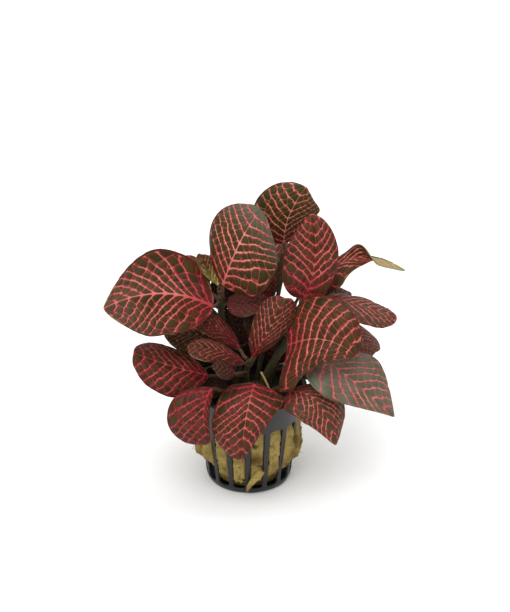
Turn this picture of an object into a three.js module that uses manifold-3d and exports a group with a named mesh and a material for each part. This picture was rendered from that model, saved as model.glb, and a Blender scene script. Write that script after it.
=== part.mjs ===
// Potted nerve plant: a bushy young plant with net-veined leaves, rooted in mineral wool in a slotted
// net pot. Millimetres, +Z up. The origin is the centre of the pot's flat underside, and -Y is the front.
//
// Every leaf is one closed solid, its stalk and its blade, that grows from a named stem. The stems stand
// in holes in the wool, and the wool fills the pot and bulges through its slots.

import * as THREE from 'three';
import { mergeVertices } from 'three/addons/utils/BufferGeometryUtils.js';
import Module from 'manifold-3d';

const wasm = await Module();
wasm.setup();

// ---------------------------------------------------------------- driving dimensions

const GAP = 0.3; // clearance that neighbouring pieces keep

// net pot: a 5 cm growing pot, measured over the rim
const POT_HEIGHT = 50;
const BASE_RADIUS = 19; // flat underside
const HEEL = { radius: 21.5, height: 6.5 }; // top of the rounded corner
const BRIM_RADIUS = 27.3; // wall at the rim
const LIP = { width: 1.2, height: 1.6 };
const WALL = 1.2;
const RIBS = 16;
const RIB_WIDTH = 2.6;
const SLOT = { foot: 3.2, top: 36, corner: 1.4, cornerSteps: 2 };
const POT_TURN = THREE.MathUtils.degToRad(-1); // the front rib stands a little left of the front
const POT_SEGMENTS = 32;

// mineral wool
const WOOL_TOP = 46;
const WOOL_CROWN = 1.5; // rise of the top at the middle
const WOOL_SWELL = [0.5, 1.0, 2.4, 3.6, 2.6, 0.9, 0.7, 1.3, 1.1, 0.7, 1.0, 3.2, 4.4, 2.8, 0.8, 0.5];
const WOOL_CORE = 12; // the swellings start inside the plug, at this radius
const SWELL_BAND = [7, 14, 26]; // heights between which a swelling is proud of the wall

// leaves
const BLADE_THICKNESS = 0.6;
const STALK_RADIUS = 0.9;
const STALK_ELBOW = 1.5; // a stalk leaves its stem square to it for this far
const BLADE_STATIONS = [0.04, 0.14, 0.3, 0.5, 0.7, 0.88, 0.98];
const BLADE_COLUMNS = 4;
const STALK_STATIONS = [0, 0.3, 0.6, 0.85];
const LOBE_REACH = 0.4; // the lobes at the foot of a blade end at this part of its length

// stems
const STEM_SIDES = 8;
const STEM_STEPS = 10;

// ---------------------------------------------------------------- materials

const finish = (color, roughness) => new THREE.MeshStandardMaterial({ color, roughness, metalness: 0 });
const potPlastic = finish(0x3c3b3d, 0.5);
const wool = finish(0x9c8636, 1.0);
const stemGreen = finish(0x4a4a10, 0.6);
const dryStalk = finish(0x7a6238, 0.9);
const leafRed = finish(0x6a3a2c, 0.45);

// ---------------------------------------------------------------- the plant's plan

// Stems, from the foot in the wool to the top; radius at the foot and at the top.
const STEMS = [
  { name: 'stem_right', radius: [2.0, 1.7],
    path: [[5, 3, 20], [6, 2, 46], [12, 0, 62], [20, 0, 76], [24, 0, 88], [26, -1, 94]] },
  { name: 'stem_top', radius: [1.3, 1.0],
    path: [[3, 9, 20], [4, 10, 46], [9, 13, 72], [15, 14, 95], [16, 15, 113]] },
  { name: 'stem_left', radius: [1.7, 1.5],
    path: [[-5, 4, 20], [-6, 4, 46], [-10, 6, 66], [-13, 7, 84], [-13, 2, 97]] },
  { name: 'stem_centre', radius: [1.5, 1.2],
    path: [[0, -4, 20], [0, -4, 46], [-1, -5, 56], [0, -5, 66]] },
  { name: 'stem_front', radius: [1.4, 1.2],
    path: [[-6, -10, 20], [-6, -11, 46], [-7, -16, 53], [-9, -19, 58]] },
  { name: 'stem_front_right', radius: [1.5, 1.3],
    path: [[9, -6, 20], [10, -7, 46], [16, -11, 55], [22, -12, 64]] },
  { name: 'stem_back', radius: [1.5, 1.2],
    path: [[-5, 12, 20], [-6, 13, 46], [-9, 18, 62], [-7, 21, 76]] },
  { name: 'stem_back_right', radius: [1.4, 1.2],
    path: [[9, 9, 20], [11, 11, 46], [17, 17, 60], [22, 22, 72]] },
  { name: 'dry_stalk', radius: [0.7, 0.5],
    path: [[12, -14, 34], [12, -15, 46], [10, -17, 56], [6, -16, 65]] },
];

// Leaves. `at` is the place on the stem where the stalk starts, 0 at the foot and 1 at the top. The midrib
// runs from `base` through `middle` to `tip`; `left` and `right` are the edges where each half is widest.
// Pairs give the left half, then the right half, of a blade that is seen from above with its tip away:
// widest, the place along the midrib; blunt, 0 a pointed and 1 a round outline towards the tip; lobe, how
// far the foot of the half reaches back past the base; belly, the rise of the half in parts of its width;
// twist, the degrees that the half has turned about the midrib at the tip.
const COMMON = { widest: [0.45, 0.45], blunt: [0.6, 0.6], lobe: [2, 2], belly: [0.1, 0.1], twist: [0, 0] };
const LEAVES = [
  // the upper leaves
  { name: 'leaf_left_large', stem: 'stem_left', at: 0.94, base: [-16, -4, 93.3], middle: [-41, -14, 105],
    tip: [-67, -20, 100], left: [-43, 4, 120], right: [-43, -28, 89.5],
    widest: [0.45, 0.5], blunt: [-0.1, 0.5], lobe: [3, 3] },
  { name: 'leaf_top_left', stem: 'stem_left', at: 1, base: [-12, -6, 105], middle: [-4, -14, 130],
    tip: [6, -9, 145], left: [-16, -3, 137], right: [13, -12, 115.5],
    widest: [0.5, 0.5], blunt: [1, 1], lobe: [-2, 8], belly: [0.12, 0.08] },
  { name: 'leaf_young', stem: 'stem_left', at: 1, base: [-14, 3, 101], middle: [-19, 3, 109],
    tip: [-22, 6, 116], left: [-24, 4, 112], right: [-15, 6, 112], lobe: [0, 0] },
  { name: 'leaf_top', stem: 'stem_top', at: 1, base: [17, 14, 118], middle: [19, 10, 134],
    tip: [27, 14, 147], left: [2.5, 14, 137], right: [33.5, 16, 134],
    widest: [0.5, 0.5], blunt: [1, 0.4], lobe: [3, 3] },
  { name: 'leaf_top_right', stem: 'stem_right', at: 1, base: [26, -6, 98], middle: [31, -8, 121],
    tip: [29, 0, 139], left: [16, -10, 121], right: [41.5, -8, 119],
    widest: [0.5, 0.5], blunt: [0.5, 0.8], lobe: [2, 4] },
  { name: 'leaf_right_curled', stem: 'stem_right', at: 1, base: [33, 6, 100], middle: [52, 8, 113.5],
    tip: [74, 1, 110], left: [48, 15, 113.5], right: [47, -3, 106],
    widest: [0.4, 0.3], blunt: [0.8, -1.3], lobe: [2, 3], twist: [185, 100] },
  { name: 'leaf_right_long', stem: 'stem_right', at: 0.93, base: [37, 4, 95], middle: [54, -2, 93],
    tip: [70, -6, 89], left: [54, 8, 92.5], right: [54, -12, 88], blunt: [0.8, 0.8] },
  { name: 'leaf_right_round', stem: 'stem_right', at: 0.8, base: [43, 6, 82], middle: [54, 2, 74],
    tip: [61, -2, 68.5], left: [59, 12, 72], right: [49, -6, 68], blunt: [0.9, 0.9], lobe: [3, 3] },
  // the front
  { name: 'leaf_front_right', stem: 'stem_right', at: 0.8, base: [19, -14, 78], middle: [35, -26, 87],
    tip: [50, -32, 81], left: [31, -12, 103], right: [21, -30, 62.5],
    widest: [0.45, 0.4], blunt: [1, 0.2], lobe: [-2, 9], belly: [0.12, 0.12] },
  { name: 'leaf_low_right', stem: 'stem_front_right', at: 1, base: [33, -10, 71], middle: [49, -22, 63],
    tip: [69, -26, 46], left: [62, -6, 66], right: [35, -34, 61.5],
    widest: [0.45, 0.4], blunt: [0.2, -0.3], lobe: [0, 2] },
  { name: 'leaf_low_front_right', stem: 'stem_front_right', at: 0.8, base: [18, -22, 57],
    middle: [32, -31, 57], tip: [41, -35, 36], left: [45, -24, 53], right: [24, -36, 50],
    widest: [0.5, 0.45], blunt: [0.3, 0.3], lobe: [0, 6] },
  { name: 'leaf_front', stem: 'stem_front', at: 1, base: [3, -20, 61], middle: [-1, -35, 51],
    tip: [-3, -37, 29], left: [17, -25, 54], right: [-17, -31, 47],
    widest: [0.35, 0.5], blunt: [0.2, 0.9], lobe: [0, 6] },
  { name: 'leaf_low_front_left', stem: 'stem_front', at: 1, base: [-17, -28, 63], middle: [-21, -35, 53],
    tip: [-18, -35, 37], left: [-18, -32, 54], right: [-38, -31, 47],
    widest: [0.5, 0.5], blunt: [0.6, 0.9], lobe: [0, 1] },
  { name: 'leaf_low_left', stem: 'stem_centre', at: 0.7, base: [-19, -14, 62], middle: [-36, -18, 69],
    tip: [-54, -18, 76], left: [-38, -26, 57.5], right: [-39, -6, 73.7],
    widest: [0.5, 0.5], blunt: [1, 1], lobe: [-3, 1] },
  // the middle of the plant
  { name: 'leaf_folded', stem: 'stem_centre', at: 0.9, base: [-2, -12, 68], middle: [-16, -20, 79],
    tip: [-28, -24, 82], left: [-17, -28, 76], right: [-17, -11, 79], blunt: [0.8, 0.8], lobe: [0, 0] },
  { name: 'leaf_centre', stem: 'stem_centre', at: 1, base: [2, -8, 69], middle: [9, -15, 86],
    tip: [17, -11, 101], left: [4.5, -10, 95], right: [20.5, -13, 90],
    widest: [0.6, 0.55], blunt: [1, 1], lobe: [0, 0] },
  { name: 'leaf_left_narrow', stem: 'stem_centre', at: 1, base: [-4, -2, 70], middle: [-16, -5, 84],
    tip: [-28, -8, 88], left: [-19, -8, 80], right: [-17, 2, 88], blunt: [0.7, 0.7], lobe: [0, 0] },
  { name: 'leaf_left_under', stem: 'stem_left', at: 0.6, base: [-16, -2, 77], middle: [-27, -2, 78],
    tip: [-40, -8, 82], left: [-31, -10, 73], right: [-28, 8, 82], lobe: [1, 1] },
  { name: 'leaf_inner_front', stem: 'stem_left', at: 0.85, base: [-10, 6, 92], middle: [-1, 4, 91],
    tip: [9, 2, 95], left: [0, 12, 94], right: [-2, -4, 88], blunt: [0.5, 0.5], lobe: [1, 1] },
  { name: 'leaf_inner_back', stem: 'stem_top', at: 0.6, base: [8, 13, 86], middle: [8, 16, 96],
    tip: [12, 23, 110], left: [1, 17, 97], right: [17, 21, 98], blunt: [0.5, 0.5], lobe: [1, 1] },
  { name: 'leaf_inner_left', stem: 'stem_back', at: 0.9, base: [-2, 13, 65], middle: [-5, 11, 76],
    tip: [-8, 8, 88], left: [-14, 11, 75], right: [2, 14, 80], blunt: [0.5, 0.5], lobe: [1, 1] },
  { name: 'leaf_inner_low', stem: 'stem_centre', at: 0.85, base: [5, 2, 68], middle: [3, 2, 79],
    tip: [1, 4, 89], left: [-2, 0, 81], right: [7, 2, 82], blunt: [0.5, 0.5], lobe: [1, 1] },
  { name: 'leaf_small_front', stem: 'stem_centre', at: 0.8, base: [-6, -24, 68], middle: [-11, -29, 74],
    tip: [-17, -31, 76], left: [-12, -31, 69], right: [-11, -24, 75], blunt: [0.5, 0.5], lobe: [0, 0] },
  { name: 'leaf_inner_right', stem: 'stem_back_right', at: 0.55, base: [15, 10, 57], middle: [14, 9, 66],
    tip: [12, 8, 75], left: [7, 8, 65], right: [21, 10, 66], lobe: [4, 4] },
  { name: 'leaf_inner_left_low', stem: 'stem_back', at: 0.45, base: [-14, 16, 56], middle: [-24, 14, 60],
    tip: [-36, 9, 57], left: [-25, 12, 52], right: [-24, 12, 66], lobe: [1, 1] },
  { name: 'leaf_low_inner_left', stem: 'stem_front', at: 0.5, base: [-10, -9, 53], middle: [-18, -12, 56],
    tip: [-27, -15, 54], left: [-17, -21, 54], right: [-18, -4, 57], lobe: [1, 1] },
  { name: 'leaf_low_inner_front', stem: 'stem_front_right', at: 0.5, base: [9, -12, 52], middle: [3, -13, 55],
    tip: [-4, -12, 54], left: [4, -19, 54], right: [4, -8, 56], lobe: [0, 0] },
  // the back
  { name: 'leaf_foot_left', stem: 'stem_back', at: 0.42, base: [-11, 12, 56], middle: [-8, 11, 61],
    tip: [-5.5, 9, 67], left: [-13, 12, 62], right: [-4, 11, 59], blunt: [0.5, 0.5], lobe: [0, 0] },
  { name: 'leaf_foot_right', stem: 'stem_back_right', at: 0.45, base: [22, 10, 56], middle: [28, 5, 56],
    tip: [36, 1, 53], left: [30, 11, 58], right: [26, -1, 54], blunt: [0.5, 0.5], lobe: [1, 1] },
  { name: 'leaf_inner_upper_left', stem: 'stem_left', at: 0.78, base: [-13, 12, 84], middle: [-14, 11, 89],
    tip: [-15.5, 9.5, 94], left: [-19, 9.5, 90], right: [-9, 13, 89], blunt: [0.5, 0.5], lobe: [0, 0] },
  { name: 'leaf_back_inner_left', stem: 'stem_back', at: 0.97, base: [-12, 23, 81], middle: [-12, 22, 91],
    tip: [-13, 19, 101], left: [-19, 21, 91], right: [-4, 23, 91], lobe: [1, 1] },
  { name: 'leaf_back_inner_low', stem: 'stem_back', at: 0.38, base: [-3, 18, 54], middle: [4, 19, 57.5],
    tip: [14, 20, 57], left: [3, 18, 65], right: [5, 19, 50], lobe: [1, 1] },
  { name: 'leaf_back_left', stem: 'stem_left', at: 0.9, base: [-19, 10, 95], middle: [-29, 22, 98],
    tip: [-41, 36, 95], left: [-28, 12, 94], right: [-27, 32, 104], lobe: [1, 1] },
  { name: 'leaf_right_under', stem: 'stem_back_right', at: 0.9, base: [36, 16, 85], middle: [43, 24, 87],
    tip: [51, 32, 84], left: [41, 30, 88], right: [47, 20, 85], blunt: [0.5, 0.5], lobe: [1, 1] },
  { name: 'leaf_back_right', stem: 'stem_top', at: 0.8, base: [19, 20, 98], middle: [34, 30, 98],
    tip: [47, 42, 94], left: [26, 38, 100], right: [40, 20, 94] },
  { name: 'leaf_back_right_low', stem: 'stem_back_right', at: 1, base: [28, 26, 74], middle: [42, 34, 76],
    tip: [56, 42, 67], left: [36, 47, 76], right: [46, 22, 72] },
  { name: 'leaf_back_right_lowest', stem: 'stem_back_right', at: 0.7, base: [20, 26, 62],
    middle: [30, 42, 64], tip: [38, 56, 53], left: [18, 48, 62], right: [42, 36, 61] },
  { name: 'leaf_back_middle', stem: 'stem_back', at: 1, base: [-4, 26, 78], middle: [0, 42, 82],
    tip: [5, 57, 74], left: [-12, 42, 80], right: [13, 38, 80] },
  { name: 'leaf_back_top', stem: 'stem_top', at: 0.93, base: [13, 18, 108], middle: [7, 32, 114],
    tip: [1, 46, 110], left: [-4, 27, 110], right: [18, 38, 111] },
  { name: 'leaf_back_lowest', stem: 'stem_back', at: 0.5, base: [0, 24, 56], middle: [4, 40, 57],
    tip: [7, 53, 46], left: [-8, 42, 55], right: [16, 38, 54] },
  { name: 'leaf_back_left_low', stem: 'stem_back', at: 0.9, base: [-16, 20, 70], middle: [-32, 28, 72],
    tip: [-47, 36, 65], left: [-36, 16, 67], right: [-27, 40, 71] },
  { name: 'leaf_back_left_lowest', stem: 'stem_back', at: 0.6, base: [-14, 26, 60], middle: [-22, 42, 63],
    tip: [-29, 56, 53], left: [-33, 36, 60], right: [-11, 48, 60] },
  { name: 'leaf_back_upper_left', stem: 'stem_left', at: 0.86, base: [-12, 10, 101], middle: [-12, 24, 107],
    tip: [-15, 38, 108], left: [-20, 22, 104], right: [-3, 25, 105] },
  { name: 'leaf_back_upper_right', stem: 'stem_right', at: 0.85, base: [26, 13, 97], middle: [34, 24, 106],
    tip: [42, 38, 104], left: [27, 31, 107], right: [43, 22, 103] },
  { name: 'leaf_back_crown', stem: 'stem_back_right', at: 1, base: [24, 31, 82], middle: [32, 39, 89],
    tip: [36, 51, 86], left: [22, 41, 87], right: [43, 34, 86] },
  { name: 'leaf_back_left_middle', stem: 'stem_left', at: 0.72, base: [-20, 14, 86],
    middle: [-33, 20, 89], tip: [-47, 28, 83], left: [-36, 10, 85], right: [-29, 31, 87] },
];

// ---------------------------------------------------------------- closed shapes

const vector = ([x, y, z]) => new THREE.Vector3(x, y, z);

/** A smooth curve through the points. */
const smoothCurve = (points) => new THREE.CatmullRomCurve3(points, false, 'catmullrom', 0.5);

/** A closed solid through rings that all have the same number of points, with flat ends. */
function loft(rings) {
  const count = rings[0].length;
  const last = (rings.length - 1) * count;
  const index = [];
  for (let ring = 0; ring < last; ring += count) {
    for (let j = 0; j < count; j += 1) {
      const a = ring + j;
      const b = ring + ((j + 1) % count);
      index.push(a, a + count, b, b, a + count, b + count);
    }
  }
  for (let j = 1; j < count - 1; j += 1) {
    index.push(0, j, j + 1, last, last + j + 1, last + j);
  }
  return new THREE.BufferGeometry().setFromPoints(rings.flat()).setIndex(index);
}

/** A round rod along a curve, whose radius changes evenly from its foot to its top. */
function rod(curve, [footRadius, topRadius], steps) {
  const { normals, binormals } = curve.computeFrenetFrames(steps);
  const rings = [];
  for (let i = 0; i <= steps; i += 1) {
    const radius = THREE.MathUtils.lerp(footRadius, topRadius, i / steps);
    const centre = curve.getPoint(i / steps);
    const ring = [];
    for (let side = 0; side < STEM_SIDES; side += 1) {
      const angle = (-2 * Math.PI * side) / STEM_SIDES;
      ring.push(centre.clone()
        .addScaledVector(normals[i], radius * Math.cos(angle))
        .addScaledVector(binormals[i], radius * Math.sin(angle)));
    }
    rings.push(ring);
  }
  return loft(rings);
}

/** A turned shape about the upright axis; the outline goes up the outside and comes back to the axis. */
function turned(outline) {
  const points = outline.map(([radius, height]) => new THREE.Vector2(radius, height));
  return new THREE.LatheGeometry(points, POT_SEGMENTS).rotateX(Math.PI / 2).rotateZ(POT_TURN);
}

/** The solid of a closed geometry, for cutting and joining. */
function solid(geometry) {
  const bare = geometry.clone();
  bare.deleteAttribute('normal');
  bare.deleteAttribute('uv');
  const merged = mergeVertices(bare, 1e-5);
  return new wasm.Manifold(new wasm.Mesh({
    numProp: 3,
    vertProperties: merged.attributes.position.array,
    triVerts: new Uint32Array(merged.index.array),
  }));
}

/** The geometry of a cut or joined solid. */
function surface(body) {
  const mesh = body.getMesh();
  const geometry = new THREE.BufferGeometry();
  geometry.setAttribute('position', new THREE.BufferAttribute(new Float32Array(mesh.vertProperties), 3));
  geometry.setIndex([...mesh.triVerts]);
  return geometry;
}

// ---------------------------------------------------------------- the net pot and the wool

/** Radius of the pot's outside at a height. */
function potRadius(height) {
  if (height >= HEEL.height) {
    return THREE.MathUtils.mapLinear(height, HEEL.height, POT_HEIGHT, HEEL.radius, BRIM_RADIUS);
  }
  const down = 1 - height / HEEL.height;
  return BASE_RADIUS + (HEEL.radius - BASE_RADIUS) * Math.sqrt(1 - down * down);
}

/** The rounded outline of a slot, with its sides along the ribs, drawn in by `inset` all round. */
function slotShape(inset) {
  const foot = SLOT.foot + inset;
  const top = SLOT.top - inset;
  const halfWidth = (height) => (Math.PI * potRadius(height) - (RIBS * RIB_WIDTH) / 2) / RIBS - inset;
  const low = halfWidth(foot);
  const high = halfWidth(top);
  const r = SLOT.corner;
  const shape = new THREE.Shape();
  shape.moveTo(-low + r, foot).lineTo(low - r, foot).quadraticCurveTo(low, foot, low, foot + r);
  shape.lineTo(high, top - r).quadraticCurveTo(high, top, high - r, top);
  shape.lineTo(-high + r, top).quadraticCurveTo(-high, top, -high, top - r);
  shape.lineTo(-low, foot + r).quadraticCurveTo(-low, foot, -low + r, foot);
  return shape;
}

/** A block with the outline of slot number `slot`, from a radius inside the wall to well outside it. */
function slotBlock(slot, inset, inner) {
  const settings = { depth: 2 * BRIM_RADIUS - inner, bevelEnabled: false, curveSegments: SLOT.cornerSteps };
  const angle = ((slot + 0.5) * 2 * Math.PI) / RIBS + POT_TURN;
  return new THREE.ExtrudeGeometry(slotShape(inset), settings)
    .translate(0, 0, inner)
    .rotateX(Math.PI / 2)
    .rotateZ(angle);
}

const HEEL_STATIONS = [0, 0.6, 2.2, 4.2, HEEL.height]; // heights at which the rounded corner is drawn

function netPot() {
  const lipFoot = POT_HEIGHT - LIP.height;
  const lipRadius = BRIM_RADIUS + LIP.width;
  const outline = [
    [0, 0],
    ...HEEL_STATIONS.map((height) => [potRadius(height), height]),
    [potRadius(lipFoot), lipFoot],
    [lipRadius, lipFoot],
    [lipRadius, POT_HEIGHT],
    [BRIM_RADIUS - WALL, POT_HEIGHT],
    ...HEEL_STATIONS.slice(2).reverse().map((height) => [potRadius(height) - WALL, height]),
    [BASE_RADIUS - WALL, WALL],
    [0, WALL],
  ];
  let body = solid(turned(outline));
  for (let slot = 0; slot < RIBS; slot += 1) {
    body = body.subtract(solid(slotBlock(slot, 0, BASE_RADIUS - 2 * WALL)));
  }
  return surface(body);
}

/** The plug of wool: a core inside the pot, a swelling in each slot, and a hole for each stem. */
function woolPlug(stems) {
  const inside = (height) => [potRadius(height - GAP) - WALL - GAP, height];
  const floor = WALL + GAP;
  let body = solid(turned([
    [0, floor],
    [BASE_RADIUS - WALL - GAP, floor],
    ...HEEL_STATIONS.slice(3).map(inside),
    inside(WOOL_TOP - WOOL_CROWN),
    [WOOL_CORE, WOOL_TOP - WOOL_CROWN / 4],
    [0, WOOL_TOP],
  ]));
  WOOL_SWELL.forEach((swell, slot) => {
    const outside = [
      [0, 0],
      [BASE_RADIUS, 0],
      [BASE_RADIUS, SLOT.foot],
      ...SWELL_BAND.map((height) => [potRadius(height) + swell, height]),
      [potRadius(SLOT.top), SLOT.top],
      [0, SLOT.top],
    ];
    const block = solid(slotBlock(slot, 1.5 * GAP, WOOL_CORE));
    body = body.add(block.intersect(solid(turned(outside))));
  });
  for (const { path, radius } of stems) {
    const [foot, ...rest] = path.map(vector);
    const hole = smoothCurve([foot.setZ(foot.z - GAP), ...rest]);
    const wide = radius.map((r) => (r + GAP) / Math.cos(Math.PI / STEM_SIDES));
    body = body.subtract(solid(rod(hole, wide, STEM_STEPS)));
  }
  return surface(body);
}

// ---------------------------------------------------------------- leaves and stems

/** The middle surface of a blade: point(u, v) with u from base to tip, v from the left to the right edge. */
function bladeSurface(leaf) {
  const { widest, blunt, lobe, belly, twist } = { ...COMMON, ...leaf };
  const [base, middle, tip] = [leaf.base, leaf.middle, leaf.tip].map(vector);
  const pull = middle.clone().multiplyScalar(2).addScaledVector(base, -0.5).addScaledVector(tip, -0.5);
  const midrib = new THREE.QuadraticBezierCurve3(base, pull, tip);
  const halves = [leaf.left, leaf.right].map((edge, k) => ({
    reach: vector(edge).sub(midrib.getPoint(widest[k])),
    along: midrib.getTangent(widest[k]),
  }));

  const sideAt = (u, k) => {
    const along = midrib.getTangent(u);
    const follow = new THREE.Quaternion().setFromUnitVectors(halves[k].along, along);
    const turn = THREE.MathUtils.degToRad(twist[k]) * THREE.MathUtils.smoothstep(u, 0.35, 0.8);
    return halves[k].reach.clone().applyQuaternion(follow).applyAxisAngle(along, turn);
  };
  const width = (u, k) => {
    if (u < widest[k]) {
      return Math.sqrt(1 - (1 - u / widest[k]) ** 2);
    }
    const s = (u - widest[k]) / (1 - widest[k]);
    return (1 - s ** (1.4 + 0.6 * blunt[k])) ** (1 - 0.5 * blunt[k]);
  };
  const normal = (u) => {
    const [left, right] = [0, 1].map((k) => sideAt(u, k).divideScalar(halves[k].reach.length()));
    return right.sub(left).normalize().cross(midrib.getTangent(u)).normalize();
  };
  const point = (u, v) => {
    const k = v > 0 ? 1 : 0;
    const out = Math.abs(v);
    const half = sideAt(u, k).multiplyScalar(width(u, k));
    const back = Math.min(1, u / LOBE_REACH);
    return midrib.getPoint(u)
      .addScaledVector(half, out)
      .addScaledVector(normal(u), belly[k] * half.length() * 4 * out * (1 - out))
      .addScaledVector(midrib.getTangent(u), -lobe[k] * 4 * back * (1 - back) * out ** 1.5);
  };
  return { point, normal, base };
}

/** The round rings of a stalk, from just off its stem to the foot of the blade. */
function stalkRings(blade, { at, curve, radius }) {
  const axis = curve.getTangent(at);
  const seat = curve.getPoint(at);
  const out = blade.base.clone().sub(seat).projectOnPlane(axis).normalize();
  const start = seat.clone().addScaledVector(out, THREE.MathUtils.lerp(...radius, at) + GAP);
  const elbow = start.clone().addScaledVector(out, STALK_ELBOW).addScaledVector(axis, 0.4 * STALK_ELBOW);
  const path = smoothCurve([start, elbow, elbow.clone().lerp(blade.base, 0.5), blade.base]);
  const count = 2 * (BLADE_COLUMNS + 1);
  return STALK_STATIONS.map((t) => {
    const along = t === 0 ? out : path.getTangent(t);
    const across = along.clone().cross(blade.normal(BLADE_STATIONS[0])).normalize();
    const up = across.clone().cross(along);
    return Array.from({ length: count }, (_, j) => {
      const angle = ((j + 0.5) * 2 * Math.PI) / count;
      return path.getPoint(t)
        .addScaledVector(across, STALK_RADIUS * Math.cos(angle))
        .addScaledVector(up, STALK_RADIUS * Math.sin(angle));
    });
  });
}

function leafGeometry(leaf, stem) {
  const blade = bladeSurface(leaf);
  const rings = stalkRings(blade, { ...stem, at: leaf.at });
  const columns = Array.from({ length: BLADE_COLUMNS + 1 }, (_, j) => 1 - (2 * j) / BLADE_COLUMNS);
  for (const u of BLADE_STATIONS) {
    const lift = blade.normal(u).multiplyScalar(BLADE_THICKNESS / 2);
    const upper = columns.map((v) => blade.point(u, v).add(lift));
    const under = columns.map((v) => blade.point(u, v).sub(lift)).reverse();
    rings.push([...upper, ...under]);
  }
  return loft(rings);
}

// ---------------------------------------------------------------- assembly

const plant = new THREE.Group();

function place(name, geometry, material) {
  geometry.computeVertexNormals();
  const mesh = new THREE.Mesh(geometry, material);
  mesh.name = name;
  plant.add(mesh);
}

place('net_pot', netPot(), potPlastic);
place('wool_plug', woolPlug(STEMS), wool);

const stems = {};
for (const { name, radius, path } of STEMS) {
  const curve = smoothCurve(path.map(vector));
  stems[name] = { curve, radius };
  place(name, rod(curve, radius, STEM_STEPS), name === 'dry_stalk' ? dryStalk : stemGreen);
}
for (const leaf of LEAVES) {
  place(leaf.name, leafGeometry(leaf, stems[leaf.stem]), leafRed);
}

export default plant;
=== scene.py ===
"""Looks of the potted nerve plant: net-veined leaves on soft stems, rooted in mineral wool in a net pot.

Shapes are worked out in millimetres, in the frame's own axes, and turned to metres when a piece is finished.
"""

import math
import random

import bmesh
import bpy
from mathutils import Matrix, Quaternion, Vector, noise
from mathutils.geometry import intersect_point_line


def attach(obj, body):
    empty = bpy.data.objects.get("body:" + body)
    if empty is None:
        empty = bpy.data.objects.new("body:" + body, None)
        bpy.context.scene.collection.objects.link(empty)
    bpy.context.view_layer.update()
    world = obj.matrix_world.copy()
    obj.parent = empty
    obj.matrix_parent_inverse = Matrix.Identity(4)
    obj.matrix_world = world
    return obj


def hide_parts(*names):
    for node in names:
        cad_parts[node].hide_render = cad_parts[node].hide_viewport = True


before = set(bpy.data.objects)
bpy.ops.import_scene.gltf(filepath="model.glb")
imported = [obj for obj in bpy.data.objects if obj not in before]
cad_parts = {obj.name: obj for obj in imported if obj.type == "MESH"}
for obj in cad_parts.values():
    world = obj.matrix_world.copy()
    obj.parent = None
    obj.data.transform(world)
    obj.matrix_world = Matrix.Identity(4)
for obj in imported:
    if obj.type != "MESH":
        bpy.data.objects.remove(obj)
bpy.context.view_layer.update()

# ---------------------------------------------------------------- sizes, in millimetres

POT_HEIGHT = 50
BASE_RADIUS = 19
HEEL_RADIUS, HEEL_HEIGHT = 21.5, 6.5
BRIM_RADIUS = 27.3
LIP_WIDTH, LIP_HEIGHT = 1.2, 1.6
WALL = 1.2
RIBS = 16
RIB_WIDTH = 2.6
SLOT_FOOT, SLOT_TOP, SLOT_CORNER = 3.2, 36, 1.4
POT_TURN = math.radians(-1)

WOOL_TOP = 46
WOOL_SWELL = (0.5, 1.0, 2.4, 3.6, 2.6, 0.9, 0.7, 1.3, 1.1, 0.7, 1.0, 3.2, 4.4, 2.8, 0.8, 0.5)
WOOL_FOOT = (6, 8.5, 10, 10, 7, 5, 6, 8, 5, 6, 9, 7, 11, 12, 8, 5.5)  # where the wool fills each slot from

BLADE_THICKNESS = 0.5
STALK_RADIUS = 0.9
STALK_ELBOW = 1.5
STALK_STEPS = 8  # along the free stalk, and again along the midrib
GAP = 0.3
LOBE_REACH = 0.4  # how far up the midrib the lobes start, in parts of its length

SIDE_VEIN_GAP = 5.2  # between side veins along the midrib of a large leaf
SIDE_VEIN_LEAN = 0.84  # how far a side vein runs forward to the edge, in parts of the way to the tip
CROSS_VEIN_GAP = 2.5  # least distance between the cross veins that join two side veins
MIDRIB_HALF = (0.88, 0.34)  # half the width of the midrib, at the base and at the tip
SIDE_VEIN_HALF = (0.54, 0.28)  # the same for a side vein, at the midrib and near the edge
CROSS_VEIN_HALF = 0.14
LOOP_VEIN_HALF = 0.11  # the small arches that end the net near the edge
CELL_AREA = 10  # a larger cell gets one more vein across it
ACROSS = 14  # steps of the net from the midrib to the edge
CELL_MARGIN = 0.9  # the flank of a cell, from its veins to its crown
CELL_RISE = 0.42  # how far a crown stands above its veins
RIM_VEIN = -0.25  # what a vertex on the edge of a blade holds: just outside a vein

# Sizes of the patterns on the surfaces, from one patch to the next.
LEAF_BLOTCH = 6.25
LEAF_GRAIN = 0.385  # skin cells are finer and wouldn't show
STEM_STREAK = 1.11
POT_CLOUD = 11.1
MOULD_GRAIN = 0.556  # coarser than the real grain, so that it shows
WOOL_FIBRE = 0.909  # a strand of many fibres, because one fibre wouldn't show
WOOL_PIT = 3.85
WOOL_STAIN = 13.3

CAMERA_PLACE = (0.0031, -0.6344, 0.3878)  # metres
CAMERA_TILT = 65  # degrees from straight down
CAMERA_LENS = 86.6
FLOOR_SIZE = 6  # metres from the middle to a side

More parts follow.
